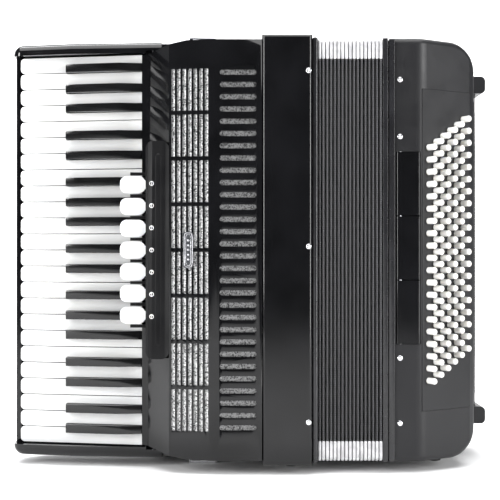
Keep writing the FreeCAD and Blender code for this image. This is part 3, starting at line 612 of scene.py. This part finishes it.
def bass_strap():
    """A leather hand strap: padded in the middle, thin at the edges, with a row of stitches at each."""
    low, high = [Vector(corner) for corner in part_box("bass_strap")]
    wide, tall = high.y - low.y, high.z - low.z
    middle = (low + high) / 2
    loops = []
    across = 28
    for n in range(81):
        z = low.z + tall * n / 80
        away = abs(z - middle.z) / (tall / 2)
        swell = 1 - min(1, max(0, (away - 0.62) / 0.12)) ** 2 * (3 - 2 * min(1, max(0, (away - 0.62) / 0.12)))
        loop = []
        for k in range(2 * across):
            turn = 2 * math.pi * k / (2 * across)
            c, s = math.cos(turn), math.sin(turn)
            y = middle.y + wide / 2 * math.copysign(abs(c) ** 0.45, c)
            inside = 1 - abs((y - middle.y) / (wide / 2)) ** 6
            thick = (1.15 + (0.85 * swell) * inside ** 0.7) * MM
            loop.append(Vector((middle.x + thick * math.copysign(abs(s) ** 0.5, s), y, z)))
        loops.append(loop)
    build = Build()
    build.loft(loops)
    strap = piece("bass_strap_leather", build.verts, build.faces, MATS["leather"])
    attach(strap, "bass")
    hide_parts("bass_strap")
    thread = Build()
    step = 4.6 * MM
    for edge in (low.y + 3.6 * MM, high.y - 3.6 * MM):
        for n in range(int(tall * 0.86 / step)):
            z = middle.z - tall * 0.43 + n * step
            for face in (-1, 1):
                x = middle.x + face * 1.62 * MM
                ends = [(-1.5, -0.25), (-1.1, 0.2), (0, 0.42), (1.1, 0.2), (1.5, -0.25)]
                thread.tube([Vector((x + face * rise * MM, edge, z + along * MM)) for along, rise in ends],
                            0.34 * MM, sides=6, closed=False)
    stitches = piece("bass_strap_stitching", thread.verts, thread.faces, MATS["thread"])
    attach(stitches, "bass")


# ---------------------------------------------------------------- metal details and marks

def pins():
    """Bellows pins with a low domed head and a dimple, standing where the CAD pins do."""
    head = [(-0.2, 3.1), (0.35, 3.2), (0.8, 2.95), (1.1, 2.3), (1.18, 1.5), (1.1, 1.15), (0.55, 0.8),
            (0.45, 0.05)]
    for node, body, heights in (("treble_pins", "treble", TREBLE_PIN_HEIGHTS),
                                ("bass_pins", "bass", BASS_PIN_HEIGHTS)):
        low, high = [Vector(corner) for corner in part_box(node)]
        build = Build()
        for height in heights:
            centre = ((low.x + high.x) / 2, high.y, MIDDLE + height * MM)
            build.lathe(centre, (0, -1, 0), [(h * MM, r * MM) for h, r in head])
        heads = piece(f"{node}_heads", build.verts, build.faces, MATS["chrome"])
        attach(heads, body)
        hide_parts(node)


def front_of(node, x, z):
    """How far forward a CAD node's surface is at (x, z)."""
    hit, point = NODES[node].ray_cast(Vector((x, -1, z)), Vector((0, 1, 0)))[:2]
    return point.y if hit else None


def register_marks():
    """A generic mark beside each treble switch: a ring with a line across and one to three dots."""
    build = Build()
    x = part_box("register_unit")[1][0] - MARK_INSET
    dots = [(0.0,), (-1.0,), (1.0,), (-1.0, 1.0), (0.0, 1.0), (-1.0, 0.0), (-1.0, 0.0, 1.0)]
    for n, places in enumerate(dots):
        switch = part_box(f"register_switch_{n + 1}")
        z = (switch[0][2] + switch[1][2]) / 2
        y = front_of("register_unit", x, z)
        if y is None:
            continue
        ring = [Vector((x + MARK_RADIUS * math.cos(t), y, z + MARK_RADIUS * math.sin(t)))
                for t in (2 * math.pi * k / 36 for k in range(36))]
        build.tube(ring, 0.42 * MM, sides=6)
        build.tube([Vector((x, y, z - MARK_RADIUS)), Vector((x, y, z + MARK_RADIUS))], 0.32 * MM,
                   sides=6, closed=False)
        for place in places:
            build.lathe((x + place * MM, y, z + 0.9 * MM * (place != 0)), (0, -1, 0),
                        [(0, 0.5 * MM), (0.22 * MM, 0.45 * MM), (0.28 * MM, 0.1 * MM)], steps=14)
    marks = piece("register_marks", build.verts, build.faces, MATS["enamel"])
    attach(marks, "treble")


def register_rib():
    """The low rib along the front of the register housing."""
    low, high = [Vector(corner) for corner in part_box("register_unit")]
    x = high.x - RIB_INSET
    half = (high.z - low.z) / 2 - 14 * MM
    build = Build()
    loops = []
    for n in range(61):
        share = n / 30 - 1
        z = MIDDLE + half * share
        taper = min(1.0, max(0.02, (1 - abs(share)) * half / RIB_HALF)) ** 0.5
        y = front_of("register_unit", x, z)
        turns = [math.pi * k / 12 for k in range(13)]
        loops.append([Vector((x + RIB_HALF * taper * math.cos(t),
                              y + 0.1 * MM - 0.5 * MM * taper * math.sin(t), z)) for t in turns])
    build.loft(loops)
    rib = piece("register_rib", build.verts, build.faces, MATS["rib_black"])
    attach(rib, "treble")


def badge_border():
    """A raised double border round the plain badge, with a column of five small dots inside it."""
    low, high = [Vector(corner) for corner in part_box("badge")]
    middle = (low + high) / 2
    build = Build()
    for inset, thick in ((1.3, 0.5), (3.2, 0.3)):
        half = Vector(((high.x - low.x) / 2 - inset * MM, 0, (high.z - low.z) / 2 - inset * MM))
        loop = []
        for n in range(72):
            turn = 2 * math.pi * n / 72
            x = middle.x + half.x * math.copysign(abs(math.cos(turn)) ** 0.35, math.cos(turn))
            z = middle.z + half.z * math.copysign(abs(math.sin(turn)) ** 0.35, math.sin(turn))
            loop.append(Vector((x, front_of("badge", x, z), z)))
        build.tube(loop, thick * MM, sides=8)
    y = front_of("badge", middle.x, middle.z)
    for step in (-2, -1, 0, 1, 2):
        build.lathe((middle.x, y, middle.z + step * 5.5 * MM), (0, -1, 0),
                    [(0, 1.3 * MM), (0.3 * MM, 1.1 * MM), (0.45 * MM, 0.1 * MM)], steps=16)
    border = piece("badge_border", build.verts, build.faces, MATS["steel"])
    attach(border, "treble")


def strap_wheel():
    """The strap's adjuster: a knurled wheel with a dished face."""
    low, high = [Vector(corner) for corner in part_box("strap_wheel")]
    rim = (high.z - low.z) / 2
    centre = ((low.x + high.x) / 2, high.y - 6 * MM, (low.z + high.z) / 2)
    build = Build()
    profile = [(0, 0.55), (0.1, 0.9), (0.6, 0.965), (5.4, 0.965), (5.9, 0.9), (6.0, 0.8), (5.2, 0.7),
               (5.0, 0.3), (5.5, 0.25), (5.6, 0.03)]
    build.lathe(centre, (0, 1, 0), [(h * MM, r * rim) for h, r in profile], steps=216,
                ripple=0.26 * MM, teeth=36)
    build.lathe(((low.x + high.x) / 2, low.y, (low.z + high.z) / 2), (0, 1, 0),
                [(0, 1.9 * MM), (11 * MM, 1.9 * MM)], steps=24)
    wheel = piece("strap_wheel_knurled", build.verts, build.faces, MATS["chrome"])
    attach(wheel, "strap_wheel")
    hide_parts("strap_wheel")


def screws():
    """Small screws with a dished head that hold the back cover and the palm-side plate."""
    head = [(-0.1, 3.0), (0.5, 3.0), (0.95, 2.5), (1.05, 1.6), (1.05, 0.9), (0.6, 0.85), (0.55, 0.05)]
    low, high = [Vector(corner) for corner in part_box("back_cover")]
    build = Build()
    for x in (low.x + SCREW_INSET, high.x - SCREW_INSET):
        for n in range(5):
            z = low.z + SCREW_INSET + (high.z - low.z - 2 * SCREW_INSET) * n / 4
            build.lathe((x, high.y, z), (0, 1, 0), [(h * MM, r * MM) for h, r in head], steps=28)
    cover = piece("back_cover_screws", build.verts, build.faces, MATS["chrome"])
    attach(cover, "treble")
    low, high = [Vector(corner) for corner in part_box("bass_end_plate")]
    build = Build()
    for y in (low.y + SCREW_INSET, high.y - SCREW_INSET):
        for n in range(4):
            z = low.z + SCREW_INSET + (high.z - low.z - 2 * SCREW_INSET) * n / 3
            build.lathe((high.x, y, z), (1, 0, 0), [(h * MM, r * MM) for h, r in head], steps=28)
    plate = piece("bass_plate_screws", build.verts, build.faces, MATS["chrome"])
    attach(plate, "bass")


# ---------------------------------------------------------------- CAD pieces

def soften(node, width, steps=3, angle=28):
    """Rounds the sharp edges of a CAD piece, without touching its own mesh."""
    thing = NODES[node]
    thing.data.shade_smooth()
    weld = thing.modifiers.new("weld", "WELD")
    weld.merge_threshold = 2e-6
    flat = thing.modifiers.new("flat", "DECIMATE")
    flat.decimate_type = "DISSOLVE"
    flat.angle_limit = math.radians(0.6)
    bevel = thing.modifiers.new("bevel", "BEVEL")
    bevel.width = width
    bevel.segments = steps
    bevel.limit_method = "ANGLE"
    bevel.angle_limit = math.radians(angle)
    bevel.harden_normals = True
    bevel.use_clamp_overlap = True


def dress(mat, nodes, width=None):
    for node in nodes:
        slots = NODES[node].data.materials
        slots.clear()
        slots.append(mat)
        if width:
            soften(node, width)


def cad_pieces():
    """Materials for the CAD pieces, and rounded edges on those that CAD left sharp."""
    dress(MATS["gloss_black"], ["keyboard_body", "treble_casing"])
    dress(MATS["gloss_black"], ["grille_cover", "back_cover"], 0.8 * MM)
    dress(MATS["rib_black"], ["register_unit"], 1.2 * MM)
    dress(MATS["gloss_black"], [f"bass_register_bar_{n}" for n in (1, 2, 3)])
    dress(MATS["satin_grey"], ["bass_casing", "button_board", "bass_end_plate", "strap_housings"])
    dress(MATS["key_white"], [n for n in NOTES if "sharp" not in n], 0.9 * MM)
    dress(MATS["key_black"], [n for n in NOTES if "sharp" in n], 0.8 * MM)
    dress(MATS["switch_white"], [f"register_switch_{n}" for n in range(1, 8)], 1.2 * MM)
    dress(MATS["button_ivory"], [n for n in NODES if n.startswith("bass_buttons_")] + ["air_button"])
    dress(MATS["silver_mesh"], ["grille_mesh"])
    dress(MATS["chrome"], ["badge"])
    dress(MATS["chrome"], ["strap_brackets"], 0.4 * MM)
    dress(MATS["chrome"], ["treble_pins", "bass_pins", "strap_wheel"])
    dress(MATS["steel"], ["key_axle", "key_springs", "bass_register_rod"])
    dress(MATS["wood"], ["treble_soundboard", "treble_reed_blocks", "bass_soundboard", "bass_reed_blocks"])
    dress(MATS["alloy"], ["bass_mechanism"])
    dress(MATS["frame_black"], ["treble_bellows_frame", "bass_bellows_frame"], 2.4 * MM)
    dress(MATS["bellows_cloth"], ["bellows_folds"])
    dress(MATS["corner_tape"], ["bellows_corners"])
    dress(MATS["leather"], ["bass_strap", "back_pads"])
    dress(MATS["rubber"], ["treble_feet", "bass_feet"], 1.0 * MM)


MATS = {
    "gloss_black": gloss_black(), "rib_black": rib_black(), "satin_grey": satin_grey(),
    "key_white": key_white(), "key_black": key_black(),
    "switch_white": ivory("switch_white", (0.84, 0.84, 0.86), (0.9, 0.9, 0.91)),
    "button_ivory": ivory("button_ivory", (0.80, 0.79, 0.76), (0.88, 0.87, 0.84)),
    "enamel": ivory("enamel", (0.8, 0.8, 0.8), (0.88, 0.88, 0.88)), "silver_mesh": silver_mesh(),
    "chrome": chrome(), "steel": steel(), "wood": wood(), "alloy": alloy(), "bellows_cloth": bellows_cloth(),
    "binding": binding(), "corner_tape": corner_tape(), "frame_black": frame_black(), "leather": leather(),
    "thread": thread(), "rubber": rubber(),
}

camera()
studio()
cad_pieces()
bpy.context.view_layer.update()
bellows()
back_pads()
bass_strap()
pins()
register_marks()
register_rib()
badge_border()
strap_wheel()
screws()
